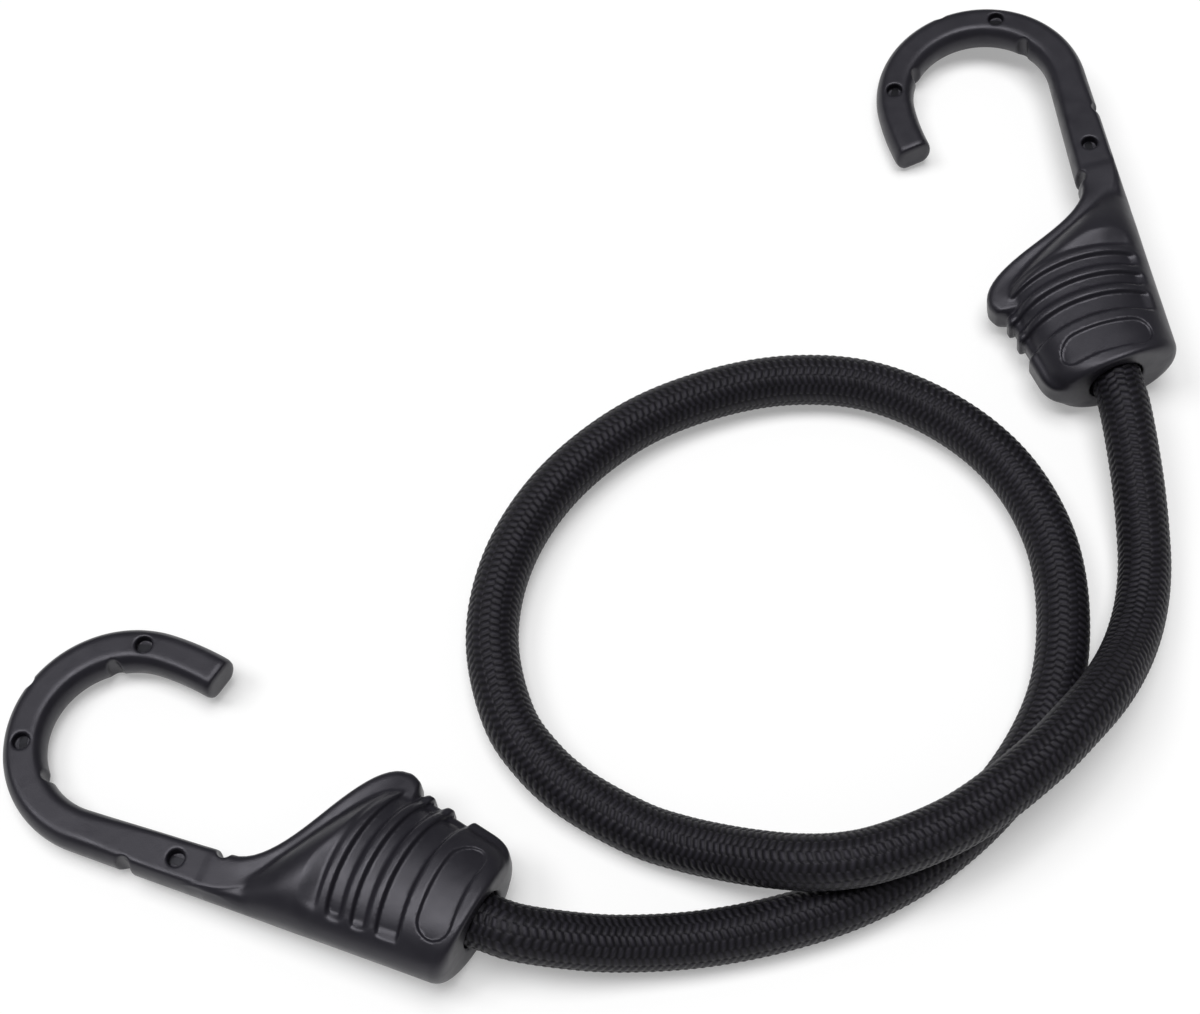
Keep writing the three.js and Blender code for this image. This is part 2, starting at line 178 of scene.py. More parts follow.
def braidMaterial():
    material, tree, shader = newMaterial("blackBraid")
    attribute = tree.nodes.new("ShaderNodeAttribute")
    attribute.attribute_name = "yarnHeight"
    relief = attribute.outputs["Fac"]
    # Painted shade: the relief height darkens the colour from each float's top into the seams.
    shade = rampNode(tree, relief, braid["paintedSeamShade"], braid["crest"], braid["seamToCrest"])
    mottle = rampNode(tree, noiseNode(tree, *braid["mottleNoise"]), *braid["mottle"])
    mixed = tree.nodes.new("ShaderNodeMix")
    mixed.data_type = "RGBA"
    mixed.blend_type = "MULTIPLY"
    mixed.inputs["Factor"].default_value = 1
    tree.links.new(shade, mixed.inputs[6])          # 6, 7 and 2 are this node's colour sockets
    tree.links.new(mottle, mixed.inputs[7])
    tree.links.new(mixed.outputs[2], shader.inputs["Base Color"])
    hair = noiseNode(tree, *braid["hairNoise"])
    yarns = bumpNode(tree, relief, *braid["yarnBump"])
    hairs = bumpNode(tree, hair, *braid["hairBump"], yarns)
    tree.links.new(hairs, shader.inputs["Normal"])
    shader.inputs["Roughness"].default_value = braid["roughness"]
    shader.inputs["Specular IOR Level"].default_value = braid["specular"]
    shader.inputs["Specular Tint"].default_value = (*braid["tint"], 1)
    shader.inputs["Sheen Weight"].default_value = braid["sheen"]
    shader.inputs["Sheen Roughness"].default_value = braid["sheenRoughness"]
    return material


# The cord's way from mouth to mouth in metres: x, y and its lift, where 1 lies on another strand.
cordRoute = {
    "floorGap": 0.00005,
    "crossingGap": 0.0006,
    "straightRun": 0.004,       # out of each mouth
    "lead": 0.05645,            # cord beside each hook, laid as a piece of its own
    "perSpan": 60,              # line points from one to the next
    "points": [
        (0.0860, -0.0070, 0.26), (0.0862, -0.0156, 0.10), (0.0858, -0.0227, 0.03), (0.0842, -0.0300, 0.08),
        (0.0811, -0.0377, 0.27), (0.0760, -0.0460, 0.67), (0.0702, -0.0528, 0.91), (0.0642, -0.0588, 0.99),
        (0.0514, -0.0684, 1.00), (0.0393, -0.0734, 0.98), (0.0334, -0.0744, 0.92), (0.0277, -0.0741, 0.77),
        (0.0220, -0.0727, 0.50), (0.0162, -0.0708, 0.22), (0.0102, -0.0688, 0.05), (0.0041, -0.0665, 0.00),
        (-0.0065, -0.0602, 0.00), (-0.0120, -0.0548, 0.00), (-0.0160, -0.0486, 0.00), (-0.0191, -0.0349, 0.00),
        (-0.0168, -0.0207, 0.00), (-0.0093, -0.0073, 0.00), (0.0031, 0.0041, 0.00), (0.0166, 0.0105, 0.00),
        (0.0302, 0.0133, 0.00), (0.0436, 0.0121, 0.00), (0.0566, 0.0055, 0.00), (0.0658, -0.0041, 0.00),
        (0.0712, -0.0171, 0.00), (0.0719, -0.0314, 0.00), (0.0689, -0.0452, 0.00), (0.0611, -0.0586, 0.00),
        (0.0496, -0.0698, 0.00), (0.0370, -0.0772, 0.00), (0.0249, -0.0813, 0.00), (0.0129, -0.0837, 0.02),
        (0.0010, -0.0848, 0.17), (-0.0060, -0.0849, 0.36),
    ],
}


def smoothLine(points, perSpan):
    # Centripetal curve through the points.
    first = 2 * points[0] - points[1]
    last = 2 * points[-1] - points[-2]
    p = np.vstack([first, points, last])
    t = np.linspace(0, 1, perSpan, endpoint=False)[:, None]
    spans = []
    for a, b, c, d in zip(p[:-3], p[1:-2], p[2:-1], p[3:]):
        ab, bc, cd = (math.sqrt(np.linalg.norm(q)) for q in (b - a, c - b, d - c))
        into = bc * ((b - a) / ab - (c - a) / (ab + bc) + (c - b) / bc)
        out = bc * ((c - b) / bc - (d - b) / (bc + cd) + (d - c) / cd)
        bend = t**2 * (3 * (c - b) - 2 * into - out) + t**3 * (2 * (b - c) + into + out)
        spans.append(b + t * into + bend)
    return np.vstack(spans + [points[-1:]])


def cordLine():
    radius = braid["diameter"] * mm / 2
    step = braid["diameter"] * mm + cordRoute["crossingGap"]
    lying = [(x, y, cordRoute["floorGap"] + radius + lift * step) for x, y, lift in cordRoute["points"]]
    run = cordRoute["straightRun"]
    a, b = places["a"], places["b"]
    line = [a["mouth"], a["mouth"] - run * a["axis"], *lying, b["mouth"] - run * b["axis"], b["mouth"]]
    return smoothLine(np.array(line), cordRoute["perSpan"])


def alongCord(line, lineWay, way):
    # Points at a distance along the cord from mouth A; below 0 and past the end it runs inside a hook.
    length = lineWay[-1]
    inside = np.clip(way, 0, length)
    points = np.stack([np.interp(inside, lineWay, line[:, i]) for i in range(3)], axis=1)
    points += np.outer(np.maximum(-way, 0), places["a"]["axis"])
    return points + np.outer(np.maximum(way - length, 0), places["b"]["axis"])


def carriedFrames(points):
    # Two directions across the line at each point, carried along without twist.
    along = np.gradient(points, axis=0)
    along /= np.linalg.norm(along, axis=1)[:, None]
    side = np.cross(along[0], (0, 0, 1))
    sides = []
    for direction in along:
        side = side - direction * np.dot(side, direction)
        side /= np.linalg.norm(side)
        sides.append(side)
    sides = np.array(sides)
    return sides, np.cross(along, sides)


def yarnHeight(way, columns):
    # 1 on a float's top, 0 in the seams round it; way in mm, columns counts round the cord.
    number = np.floor(columns)
    across = columns - number - 0.5
    lean = np.where(number % 2 == 0, 1, -1) * braid["slant"] * across
    phase = way / braid["pitch"] + lean + 0.5 * (number % 2)
    bump = 0.5 + 0.5 * np.cos(2 * np.pi * phase)
    return bump * (1 - braid["sideDrop"] * np.abs(2 * across) ** braid["sidePower"])


# Inside the hook the crimp pinches the cord, and its tail swells behind it; in mm.
cordEnd = {"depth": [0, 10, 10.3, 18.3, 18.6, 21.6], "radius": [4.25, 4.25, 4.0, 4.0, 4.85, 4.85]}


def braidedTube(name, points, frames, way, length, material):
    count = braid["columns"] * braid["perColumn"]
    columns = np.arange(count) / count * braid["columns"]
    angle = columns / braid["columns"] * 2 * np.pi
    height = yarnHeight(way[:, None] / mm, columns[None, :] + 1e-6)     # keeps each point in its own column
    depth = np.maximum(np.maximum(-way, way - length), 0) / mm
    radius = np.interp(depth, cordEnd["depth"], cordEnd["radius"])
    reach = (radius[:, None] - braid["depth"] * (1 - height)) * mm
    across, up = frames
    ring = np.cos(angle)[None, :, None] * across[:, None] + np.sin(angle)[None, :, None] * up[:, None]
    skin = points[:, None] + reach[:, :, None] * ring
    rows = len(points)
    index = np.arange(rows * count).reshape(rows, count)
    beside = np.roll(index, -1, axis=1)
    quads = np.stack([index[:-1], beside[:-1], beside[1:], index[1:]], axis=-1).reshape(-1, 4)
    # Each end cap has corners of its own, so that the skin shades smoothly up to its end.
    capA = rows * count + np.arange(count)
    capB = capA + count
    faces = quads.tolist() + [capA[::-1].tolist(), capB.tolist()]
    verts = np.vstack([skin.reshape(-1, 3), skin[0], skin[-1]])
    piece = meshObject(name, verts, faces, material)
    layer = piece.data.attributes.new("yarnHeight", "FLOAT", "POINT")
    layer.data.foreach_set("value", np.vstack([height, height[:1], height[-1:]]).ravel().astype(np.float32))
    return piece


def buildCord():
    line = cordLine()
    lineWay = np.concatenate([[0], np.cumsum(np.linalg.norm(np.diff(line, axis=0), axis=1))])
    length, lead = lineWay[-1], cordRoute["lead"]
    tail = cordEnd["depth"][-1] * mm
    cuts = [-tail, 0, lead, length - lead, length, length + tail]
    step = braid["pitch"] * mm / braid["perPitch"]
    runs = [np.linspace(a, b, round((b - a) / step) + 1) for a, b in zip(cuts, cuts[1:])]
    way = np.concatenate([runs[0]] + [run[1:] for run in runs[1:]])
    points = alongCord(line, lineWay, way)
    across, up = carriedFrames(points)
    material = braidMaterial()
    names = ["braid_end_a", "braid_lead_a", "braid_loop", "braid_lead_b", "braid_end_b"]
    pieces, start = {}, 0
    for name, run in zip(names, runs):
        part = slice(start, start + len(run))
        frames = (across[part], up[part])
        pieces[name] = (braidedTube(name, points[part], frames, way[part], length, material), points[part])
        start += len(run) - 1
    joinCord(pieces, length)


def joinCord(pieces, length):
    for letter in "ab":
        end = pieces["braid_end_" + letter][0]
        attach(end, "end_" + letter)
        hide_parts("cord_end_" + letter)
        tube, line = pieces["braid_lead_" + letter]
        if letter == "b":
            line = line[::-1]       # from the mouth on, as the other one
        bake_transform(tube)
        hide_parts("jacket_lead_" + letter, "rubber_lead_" + letter)
    loop, line = pieces["braid_loop"]
    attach(loop, "cord")
    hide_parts("jacket_loop", "rubber_loop")
    print("cord laid:", round(length / mm, 1), "mm between the mouths")


buildCord()


# The moulded hook is one field in its own frame, in mm: x from the mouth to the bend, y to the open side.
# Every field below is a distance to a surface, negative inside its own form.
def roundMax(a, b, reach):
    near = np.maximum(reach - np.abs(a - b), 0) / reach
    return np.maximum(a, b) + near * near * reach / 4


def roundMin(a, b, reach):
    return -roundMax(-a, -b, reach)


def ease(value, start, end):
    t = np.clip((value - start) / (end - start), 0, 1)
    return t * t * (3 - 2 * t)


def cornerCut(radius, x):
    # How far an edge rounded by radius is drawn in at a distance x from the mouth.
    s = 1 - np.clip(x / radius, 0, 1)
    return radius * (1 - np.sqrt(1 - s * s))


def ovalField(across, up, halfAcross, halfUp, power):
    # An oval section; a power above 2 makes it squarer.
    a, t = across / halfAcross, up / halfUp
    size = np.maximum((a**power + t**power) ** (1 / power), 1e-3)
    slope = np.hypot((a / size) ** (power - 1) / halfAcross, (t / size) ** (power - 1) / halfUp)
    return (size - 1) / np.maximum(slope, 0.03)     # the floor only matters on the oval's axis


farAway = 50        # mm, where a form has no surface near

# Shank, bend and tip.
limb = {
    "halfWidth": 3.35, "halfThick": 2.9, "crown": 1.03, "shoulder": 0.4,
    "bendLand": 1.5, "shankLand": 2.4, "landEnd": 50, "landRound": 0.35,        # flat lands, from the middle
    "bendRadius": 15.5, "bendX": 64.7, "offset": 6.4,
    "swell": 1.16, "swellX": 33.3,                      # the shank grows towards the body
    "start": 24, "sink": [25, 35], "sunk": 0.7,         # and shrinks away inside it
    "neck": [33, 42], "neckDrop": 0.09, "neckLand": 0.5,
    "tipLength": 10.3, "tipRadius": 45, "tipChamfer": 0.3, "tipRound": 0.6,
    "joinRound": 0.3,
}


def limbField(x, y, z):
    bendX, bendY = limb["bendX"], limb["bendRadius"] - limb["offset"]
    tipY = bendY + limb["bendRadius"] - limb["tipRadius"]
    shank = (x <= bendX) & (y < bendY)
    tip = (x <= bendX) & (y >= bendY)
    offBend = np.abs(np.hypot(x - bendX, y - bendY) - limb["bendRadius"])
    offTip = np.abs(np.hypot(x - bendX, y - tipY) - limb["tipRadius"])
    across = np.where(shank, np.abs(y + limb["offset"]), np.where(tip, offTip, offBend))
    swell = 1 + (limb["swell"] - 1) * np.clip((bendX - x) / (bendX - limb["swellX"]), 0, 1) * shank
    swell = np.where(shank, swell * (limb["sunk"] + (1 - limb["sunk"]) * ease(x, *limb["sink"])), swell)
    wider = (limb["shankLand"] - limb["bendLand"]) * ease(-x, -bendX, -limb["landEnd"]) * shank
    neck = (1 - ease(x, *limb["neck"])) * shank         # the land fades where the band turns up
    land = (limb["bendLand"] + wider) * (1 + (limb["neckLand"] - 1) * neck)
    height = np.abs(z) / swell / (1 - limb["neckDrop"] * neck)
    inner = land - limb["shoulder"]         # the rounding starts a little inside the land's edge
    beside = np.maximum(across / swell - inner, 0)
    oval = ovalField(beside, height, limb["halfWidth"] - inner, limb["crown"] * limb["halfThick"], 2)
    section = roundMax(oval, height - limb["halfThick"], limb["landRound"])
    beyond = (np.arctan2(y - tipY, x - bendX) - np.pi / 2) * limb["tipRadius"] - limb["tipLength"]
    beyond = np.where(tip, beyond, -farAway)
    chamfer = (section + beyond + limb["tipChamfer"]) * math.sqrt(0.5)
    ended = roundMax(np.maximum(section, beyond), chamfer, limb["tipRound"])
    return np.maximum(ended, np.where(shank, limb["start"] - x, -farAway))


# Full body round the cord's end, with a leaning mouth and a far end that thins out.
body = {
    "halfThick": 7.1, "draft": 0.0065, "squareness": 2.2, "taper": 0.0205, "climb": 0.238,
    "mouthTop": 11.7, "mouthBottom": 11, "mouthTilt": 11, "mouthPivot": 6.3, "mouthRound": 0.84,
    "wingRound": 4, "backRound": 2,                     # corners beside the mouth
    "full": 26.2, "thinX": 40, "thin": 2.3, "endLean": 1.0, "end": 42,
    "inset": 2.2, "insetRun": [13, 22], "crownReach": 3,        # keeps it inside the wing's rim
    "joinRound": 0.45,
}
# Flat wing on its open side, with a raised band along the rim.
wing = {
    "halfThick": 3.2, "edgeRound": 1.4, "low": -9.6, "mouthGap": 0.3, "cornerReach": 4.7,
    "thinning": 1.8, "fade": [42, 48],                  # runs out under the shank's land
    "band": 4.6, "bandWiden": 1.5, "bandTurn": [34, 43],
    "web": 0.5, "bandEdge": 0.6, "webFall": 1.3, "webEdge": 2.5,        # falls off inside the band
    "lift": 0.5, "liftRun": [23, 29], "droop": 0.45, "droopRun": [19, 25], "cutRun": [16.5, 17.7],
    "start": -4, "startDrop": 0.2, "apexStart": 16.5, "apexStartTop": 15.9,
    "apexX": 19.8, "apexTop": 17.8, "apexRound": 1.3, "lean": 8, "footX": 40, "sweep": 9,
    "farX": 56, "farY": -40, "slopePoints": 24, "crownEvery": 4,
}


def wingOutline():
    foot = limb["halfWidth"] - limb["offset"]
    t = np.linspace(0, 1, wing["slopePoints"])[:, None]
    s = t[::wing["crownEvery"]]
    start = np.array([wing["apexStart"], wing["apexStartTop"]])
    apex = np.array([wing["apexX"], wing["apexTop"]])
    lift = np.array([wing["apexX"] - wing["apexRound"], wing["apexTop"]])
    leave = apex + (wing["lean"], 0)
    arrive = np.array([wing["footX"] - wing["sweep"], foot])
    end = np.array([wing["footX"], foot])
    rise = (wing["apexStartTop"] - body["mouthTop"]) / wing["apexStart"]
    first = np.array([wing["start"], body["mouthTop"] + rise * wing["start"] - wing["startDrop"]])
    crown = (1 - s)**2 * start + 2 * s * (1 - s) * lift + s**2 * apex
    slope = (1 - t)**3 * apex + 3 * t * (1 - t)**2 * leave + 3 * t**2 * (1 - t) * arrive + t**3 * end
    base = np.array([[wing["farX"], foot], [wing["farX"], wing["farY"]], [wing["start"], wing["farY"]]])
    return np.vstack([first, crown, slope[1:], base])


def outlineField(x, y, corners):
    # Signed distance to a closed outline.
    nearest = np.full(np.broadcast(x, y).shape, 1e9)
    inside = np.zeros(nearest.shape, bool)
    for (ax, ay), (bx, by) in zip(corners, np.roll(corners, -1, axis=0)):
        dx, dy = bx - ax, by - ay
        t = np.clip(((x - ax) * dx + (y - ay) * dy) / (dx * dx + dy * dy + 1e-12), 0, 1)
        nearest = np.minimum(nearest, np.hypot(x - ax - t * dx, y - ay - t * dy))
        if dy != 0:
            inside ^= ((ay > y) != (by > y)) & (x < ax + (y - ay) * dx / dy)
    return np.where(inside, -nearest, nearest)


def mouthDepth(x, y):
    # Distance behind the body's leaning mouth.
    tilt = math.radians(body["mouthTilt"])
    return x * math.cos(tilt) + (y - body["mouthPivot"]) * math.sin(tilt)


# Ribbed pocket on both faces of the body, and a bare panel beside the mouth.
grip = {
    "ridges": [23.25, 19.25, 15.25], "radius": 38, "centreY": -2.5,     # all bowed alike
    "ridgeTop": 0.25, "ridgeFoot": 0.85, "ridgeRun": 1.7, "ridgeHeight": 0.82,
    "depth": 0.9, "near": 10.7, "nearWall": 0.9,
    "far": 27.4, "farLean": 0.56, "farTurn": 2, "corner": 9, "wall": 3.2, "straight": 0.9,
    "rimWall": 1.1, "rimOpen": 0.9, "rimRun": [3, 13],          # steeper beside the rim's band
    "low": -9.6, "lowSlope": 2.1, "lowFade": [-9, -6.6], "scallop": 1.3, "scallopWidth": 2,
    "panelX": 6.3, "panelLow": -6.7, "panelHigh": 8.6, "panelWidth": 5.2,
    "panelDepth": 0.45, "panelEdge": 0.2,
}


def farLean(y, lean):
    # The body's far end and the pocket's lip lean back towards the wing.
    rise = np.maximum(y - grip["centreY"], 0)
    return np.hypot(grip["farTurn"], lean * rise) - grip["farTurn"]


def bulbField(x, y, z, outline):
    ahead = outline[:-3]        # without its base
    crown = np.interp(x, ahead[:, 0], ahead[:, 1]) - body["inset"] * ease(x, *body["insetRun"])
    top = roundMin(body["mouthTop"] + body["climb"] * x, crown, body["crownReach"])
    inward = mouthDepth(x, y)
    top = top - cornerCut(body["wingRound"], inward)
    low = -body["mouthBottom"] + body["taper"] * x + cornerCut(body["backRound"], inward)
    full = body["halfThick"] - body["draft"] * np.clip(x, 0, body["full"])
    thinFrom = body["full"] - farLean(y, grip["farLean"])
    thinTo = body["thinX"] - farLean(y, body["endLean"])
    half = full + (body["thin"] - full) * ease(x, thinFrom, thinTo)
    middle, reach = (top + low) / 2, (top - low) / 2
    section = ovalField(np.abs(y - middle), np.abs(z), reach, half, body["squareness"])
    ended = roundMax(section, -inward, body["mouthRound"])
    return np.maximum(ended, x - body["end"])


def gripDepth(x, y):
    # How deep the ribbed pocket and the bare panel lie below the body's skin.
    rise = y - grip["centreY"]
    bow = grip["radius"] - np.sqrt(np.maximum(grip["radius"]**2 - rise**2, 1))
    across = x + bow
    steep, gentle = grip["ridgeFoot"], grip["ridgeRun"]
    aside = [across - ridge for ridge in grip["ridges"]]        # each ridge is steep on its side to the mouth
    beside = np.min([np.where(d > 0, d * steep / gentle, -d) for d in aside], axis=0)
    low = grip["low"] + grip["scallop"] * np.maximum(1 - beside / grip["scallopWidth"], 0) ** 2
    atRim = ease(y, *grip["rimRun"])        # the lip is a steep wall beside the rim's band
    lip = x + farLean(y, grip["farLean"]) - grip["far"] - grip["rimOpen"] * atRim
    wall = roundMax(lip, grip["lowSlope"] * (low - y), grip["corner"])
    slant = np.clip(-wall / (grip["wall"] + (grip["rimWall"] - grip["wall"]) * atRim), 0, 1)
    pocket = grip["straight"] * slant + (1 - grip["straight"]) * ease(slant, 0, 1)
    pocket = pocket * ease(across - grip["near"], 0, grip["nearWall"]) * ease(y, *grip["lowFade"])
    pocket = pocket * (1 - grip["ridgeHeight"] * (1 - ease(beside, grip["ridgeTop"], grip["ridgeFoot"])))
    half = grip["panelWidth"] / 2
    middle = (grip["panelHigh"] + grip["panelLow"]) / 2
    run = (grip["panelHigh"] - grip["panelLow"]) / 2 - half
    edge = np.hypot(across - grip["panelX"], np.maximum(np.abs(y - middle) - run, 0)) - half
    panel = 1 - ease(edge, -grip["panelEdge"], grip["panelEdge"])
    return grip["depth"] * pocket + grip["panelDepth"] * panel


# Stepped bore for the cord's end, and the marks of the pins that held the steel core in the mould.
socket = {
    "x": [-3, 1.2, 1.9, 10, 10, 21.9], "radius": [4.75, 4.75, 4.45, 4.45, 5.4, 5.4], "edgeRound": 0.5,
}
pins = {
    "hole": 1.35, "floor": 1.45, "slot": 1.1, "edgeRound": 0.3,
    "face": [78, -22], "inner": [58, -49], "outer": [12],       # degrees round the bend
    "faceShank": 47.7, "innerShank": 41.2, "outerShank": 55.4,
}


def onBend(degrees):
    angle = math.radians(degrees)
    outward = np.array([math.cos(angle), math.sin(angle)])
    centre = np.array([limb["bendX"], limb["bendRadius"] - limb["offset"]])
    return centre + limb["bendRadius"] * outward, outward


def pinField(x, y, z):
    # Holes in both faces, and slots across the sides.
    shank = -limb["offset"]
    faces = [onBend(degrees)[0] for degrees in pins["face"]] + [(pins["faceShank"], shank)]
    edge = limb["halfWidth"]
    sides = [point - edge * out for point, out in map(onBend, pins["inner"])]
    sides += [point + edge * out for point, out in map(onBend, pins["outer"])]
    sides += [(pins["innerShank"], shank + edge), (pins["outerShank"], shank - edge)]
    field = np.full(np.broadcast(x, y, z).shape, float(farAway))
    for px, py in faces:
        hole = np.hypot(x - px, y - py) - pins["hole"]
        field = np.minimum(field, np.maximum(hole, pins["floor"] - np.abs(z)))
    for px, py in sides:
        field = np.minimum(field, np.hypot(x - px, y - py) - pins["slot"])
    return field


def plateField(x, y, z, outline):
    # The wing, without the pocket.
    rim = outlineField(x, y, outline)
    within = -rim - wing["band"] - wing["bandWiden"] * ease(x, *wing["bandTurn"])      # past the rim's band
    thinned = wing["web"] * ease(within, 0, wing["bandEdge"])
    thinned = thinned + wing["webFall"] * ease(within, wing["bandEdge"], wing["webEdge"])
    thinned = np.maximum(thinned, wing["thinning"] * ease(x, *wing["fade"]))
    edge = roundMax(rim, wing["mouthGap"] - mouthDepth(x, y), wing["cornerReach"])
    lift = wing["lift"] * ease(x, *wing["liftRun"]) * (1 - ease(x, *wing["bandTurn"]))
    lift = lift - wing["droop"] * (1 - ease(x, *wing["droopRun"]))
    lift = lift * (1 - ease(-rim, 0, wing["band"]))     # the rim stands up in the neck and droops to the apex
    plate = roundMax(edge, np.abs(z) - wing["halfThick"] - lift + thinned, wing["edgeRound"])
    return np.maximum(plate, wing["low"] - y)


def hookField(x, y, z, outline):
    depth = gripDepth(x, y)
    cut = depth * (1 - ease(x, *wing["cutRun"]))        # the pocket stops at the rim's band
    bulb = bulbField(x, y, z, outline) + depth
    skin = roundMin(bulb, plateField(x, y, z, outline) + cut, body["joinRound"])
    skin = roundMin(skin, limbField(x, y, z), limb["joinRound"])
    bore = np.hypot(y, z) - np.interp(x, socket["x"], socket["radius"])
    bore = np.maximum(bore, x - socket["x"][-1])
    skin = roundMax(skin, -bore, socket["edgeRound"])
    return roundMax(skin, -pinField(x, y, z), pins["edgeRound"])


def netOfField(field, low, step):
    # One vertex in each grid cell that the surface passes, joined to quads.
    inside = field < 0
    corner = [inside[i:field.shape[0] - 1 + i, j:field.shape[1] - 1 + j, k:field.shape[2] - 1 + k]
              for i in (0, 1) for j in (0, 1) for k in (0, 1)]
    count = sum(c.astype(np.int8) for c in corner)
    cells = np.argwhere((count > 0) & (count < 8))
    number = np.full(count.shape, -1, np.int32)
    number[tuple(cells.T)] = np.arange(len(cells))
    total, crossings = np.zeros((len(cells), 3)), np.zeros(len(cells))
    for axis in range(3):
        others = [a for a in range(3) if a != axis]
        for i in (0, 1):
            for j in (0, 1):
                shift = np.zeros(3, int)
                shift[others] = i, j
                a = cells + shift
                b = a.copy()
                b[:, axis] += 1
                fa, fb = field[tuple(a.T)], field[tuple(b.T)]
                crossed = (fa < 0) != (fb < 0)
                t = np.where(crossed, fa / np.where(crossed, fa - fb, 1), 0)
                point = a.astype(float)
                point[:, axis] += t
                total += point * crossed[:, None]
                crossings += crossed
    verts = low + step * total / crossings[:, None]
    quads = []
    for axis in range(3):
        second, third = (axis + 1) % 3, (axis + 2) % 3
        ahead = np.roll(inside, -1, axis)
        edge = np.argwhere(inside != ahead)
        edge = edge[(edge[:, axis] < field.shape[axis] - 1) & (edge[:, second] > 0) & (edge[:, third] > 0)]
        around = []
        for i, j in ((-1, -1), (0, -1), (0, 0), (-1, 0)):
            cell = edge.copy()
            cell[:, second] += i
            cell[:, third] += j
            around.append(number[tuple(cell.T)])
        quad = np.stack(around, axis=1)
        outward = inside[tuple(edge.T)]
        quads.append(np.where(outward[:, None], quad, quad[:, ::-1]))
    return verts, np.vstack(quads)


# The grid that the hook's field is meshed on, in mm.
moulding = {
    "step": 0.28, "coarseStep": 0.5, "low": (-3, -13, -8.2), "high": (85, 29.5, 8.2),
    "settles": 2, "nudge": 0.04, "leastSteep": 0.25,
    "longestMove": 0.5,         # in steps of the grid
}


def settle(verts, outline, step):
    # Moves each vertex onto the true surface.
    def value(points):
        return hookField(points[:, 0], points[:, 1], points[:, 2], outline)
    nudge = moulding["nudge"]
    rise = [value(verts + nudge * e) - value(verts - nudge * e) for e in np.eye(3)]
    slope = np.stack(rise, axis=1) / (2 * nudge)
    steep = np.maximum((slope**2).sum(axis=1), moulding["leastSteep"])
    move = value(verts)[:, None] * slope / steep[:, None]
    size = np.linalg.norm(move, axis=1)[:, None]
    return verts - move * np.minimum(1, moulding["longestMove"] * step / np.maximum(size, 1e-9))


def hookMesh():
    step = moulding["step"]
    low, high = np.array(moulding["low"], float), np.array(moulding["high"], float)
    counts = np.ceil((high - low) / step).astype(int)
    axes = [low[i] + step * np.arange(counts[i]) for i in range(3)]
    outline = wingOutline()
    field = hookField(axes[0][:, None, None], axes[1][None, :, None], axes[2][None, None, :], outline)
    verts, quads = netOfField(field, low, step)
    for _ in range(moulding["settles"]):
        verts = settle(verts, outline, step)
    return verts, quads


# Charcoal moulded plastic: satin, with a fine mould grain and a little rubbing.
plastic = {
    "dark": (0.0096, 0.0091, 0.0128), "light": (0.0134, 0.0127, 0.0174), "cloudNoise": (90, 4),
    "roughness": (0.35, 0.45), "rubNoise": (350, 3),
    "waveNoise": (260, 2), "waveBump": (0.12, 0.0004),
    "grainNoise": (4200, 2), "grainBump": (0.16, 0.00008),
    "specular": 0.45, "tint": (0.93, 0.91, 1.0),
}


def plasticMaterial():
    material, tree, shader = newMaterial("charcoalPlastic")
    shade = rampNode(tree, noiseNode(tree, *plastic["cloudNoise"]), plastic["dark"], plastic["light"])
    tree.links.new(shade, shader.inputs["Base Color"])
    gloss = rampNode(tree, noiseNode(tree, *plastic["rubNoise"]), *plastic["roughness"])
    tree.links.new(gloss, shader.inputs["Roughness"])
    waves = bumpNode(tree, noiseNode(tree, *plastic["waveNoise"]), *plastic["waveBump"])
    grain = bumpNode(tree, noiseNode(tree, *plastic["grainNoise"]), *plastic["grainBump"], waves)
    tree.links.new(grain, shader.inputs["Normal"])
    shader.inputs["Specular IOR Level"].default_value = plastic["specular"]
    shader.inputs["Specular Tint"].default_value = (*plastic["tint"], 1)
    return material


def buildHooks():
    verts, quads = hookMesh()
    material = plasticMaterial()
    for letter in "ab":
        place = places[letter]
        points = (verts * mm) @ place["spin"].T + place["mouth"]
        hook = meshObject("moulded_hook_" + letter, points, quads.tolist(), material)
        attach(hook, "hook_" + letter)
        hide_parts("hook_" + letter)
    print("hooks moulded:", len(quads), "faces each")


buildHooks()

# Steel inside the hooks: the wire shows at the bottom of the pin holes, and its colour is nearly black, so
# that the holes look dark.
steel = {
    "wire": (0.03, 0.03, 0.034), "wireNoise": (900, 4),
    "crimp": (0.42, 0.43, 0.45), "crimpNoise": (600, 4),
    "darker": 0.6, "shadeSpan": (0.3, 0.65), "roughness": (0.5, 0.3),
}


def steelMaterial(name, colour, noise):
    material, tree, shader = newMaterial(name)
    streaks = noiseNode(tree, *noise)
    darker = tuple(steel["darker"] * c for c in colour)
    shade = rampNode(tree, streaks, darker, colour, steel["shadeSpan"])
    tree.links.new(shade, shader.inputs["Base Color"])
    gloss = rampNode(tree, streaks, *steel["roughness"])
    tree.links.new(gloss, shader.inputs["Roughness"])
    shader.inputs["Metallic"].default_value = 1
    return material


def dressSteel():
    wire = steelMaterial("drawnWire", steel["wire"], steel["wireNoise"])
    ring = steelMaterial("zincCrimp", steel["crimp"], steel["crimpNoise"])
    for letter in "ab":
        for node, material in (("hook_core_", wire), ("crimp_", ring)):
            mesh = frame["nodes"][node + letter].data
            mesh.materials.clear()
            mesh.materials.append(material)
    print("steel dressed")


dressSteel()

# White table, a large soft light overhead and a smaller one on the left.
studio = {
    "floorSize": 14.0, "floor": (0.96, 0.96, 0.96), "floorRoughness": 0.9,
    "glow": 1.1, "glowShare": 0.28, "world": 0.17,
    "overheadSoft": {"strength": 1.95, "angle": 36, "elevation": 86, "azimuth": 120},
    "leftSoft": {"strength": 0.9, "angle": 22, "elevation": 58, "azimuth": 176},
}


def mathNode(tree, operation, first, second):
    node = tree.nodes.new("ShaderNodeMath")
    node.operation = operation
    tree.links.new(first, node.inputs[0])
    if isinstance(second, float):
        node.inputs[1].default_value = second
    else:
        tree.links.new(second, node.inputs[1])
    return node.outputs[0]


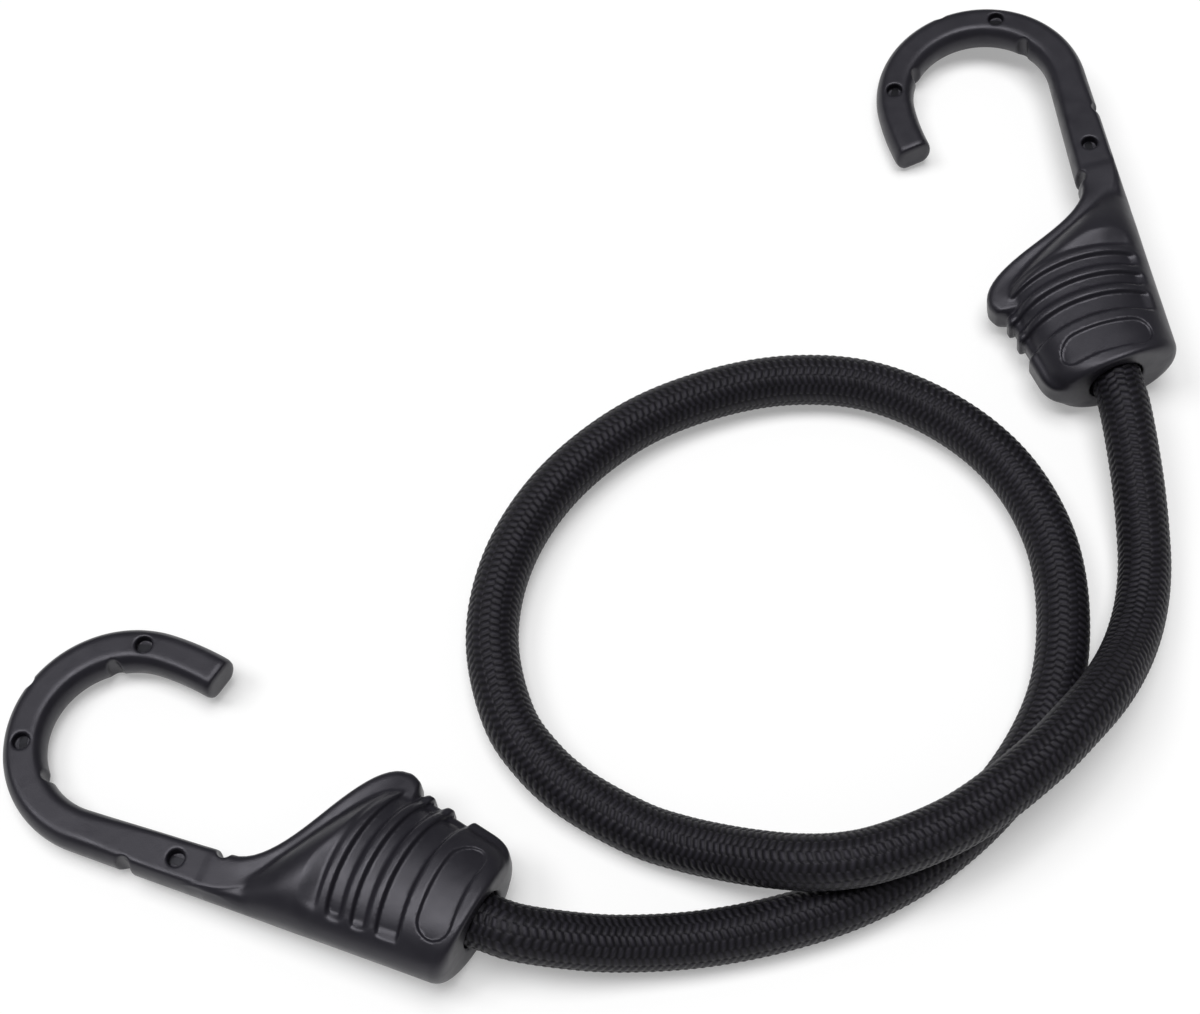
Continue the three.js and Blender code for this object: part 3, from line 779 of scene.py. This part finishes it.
def tableMaterial():
    # The camera and reflections see part of the table as plain white, so that its shadows stay pale.
    material, tree, shader = newMaterial("whiteTable")
    shader.inputs["Base Color"].default_value = (*studio["floor"], 1)
    shader.inputs["Roughness"].default_value = studio["floorRoughness"]
    shader.inputs["Specular IOR Level"].default_value = 0
    glow = tree.nodes.new("ShaderNodeEmission")
    glow.inputs["Strength"].default_value = studio["glow"]
    ray = tree.nodes.new("ShaderNodeLightPath").outputs
    seen = mathNode(tree, "MAXIMUM", ray["Is Camera Ray"], ray["Is Glossy Ray"])
    seen = mathNode(tree, "MAXIMUM", seen, ray["Is Transmission Ray"])
    share = mathNode(tree, "MULTIPLY", seen, studio["glowShare"])
    mixed = tree.nodes.new("ShaderNodeMixShader")
    tree.links.new(share, mixed.inputs["Fac"])
    tree.links.new(shader.outputs["BSDF"], mixed.inputs[1])
    tree.links.new(glow.outputs["Emission"], mixed.inputs[2])
    tree.links.new(mixed.outputs["Shader"], tree.nodes["Material Output"].inputs["Surface"])
    return material


def hangLamp(name, lamp):
    data = bpy.data.lights.new(name, "SUN")
    data.energy = lamp["strength"]
    data.angle = math.radians(lamp["angle"])
    piece = bpy.data.objects.new(name, data)
    high, side = math.radians(lamp["elevation"]), math.radians(lamp["azimuth"])
    toLamp = Vector((math.cos(high) * math.cos(side), math.cos(high) * math.sin(side), math.sin(high)))
    piece.rotation_euler = toLamp.to_track_quat("Z", "Y").to_euler()
    bpy.context.scene.collection.objects.link(piece)


def setStudio():
    half = studio["floorSize"] / 2
    corners = np.array([(-half, -half, 0), (half, -half, 0), (half, half, 0), (-half, half, 0)])
    floor = meshObject("tableTop", corners, [(0, 1, 2, 3)], tableMaterial(), smooth=False)
    for name in ("overheadSoft", "leftSoft"):
        hangLamp(name, studio[name])
    world = bpy.data.worlds.new("studioAir")
    world.use_nodes = True
    air = world.node_tree.nodes["Background"]
    air.inputs["Color"].default_value = (1, 1, 1, 1)
    air.inputs["Strength"].default_value = studio["world"]
    bpy.context.scene.world = world
    bpy.context.scene.view_settings.view_transform = "Standard"
    print("studio lit")


setStudio()
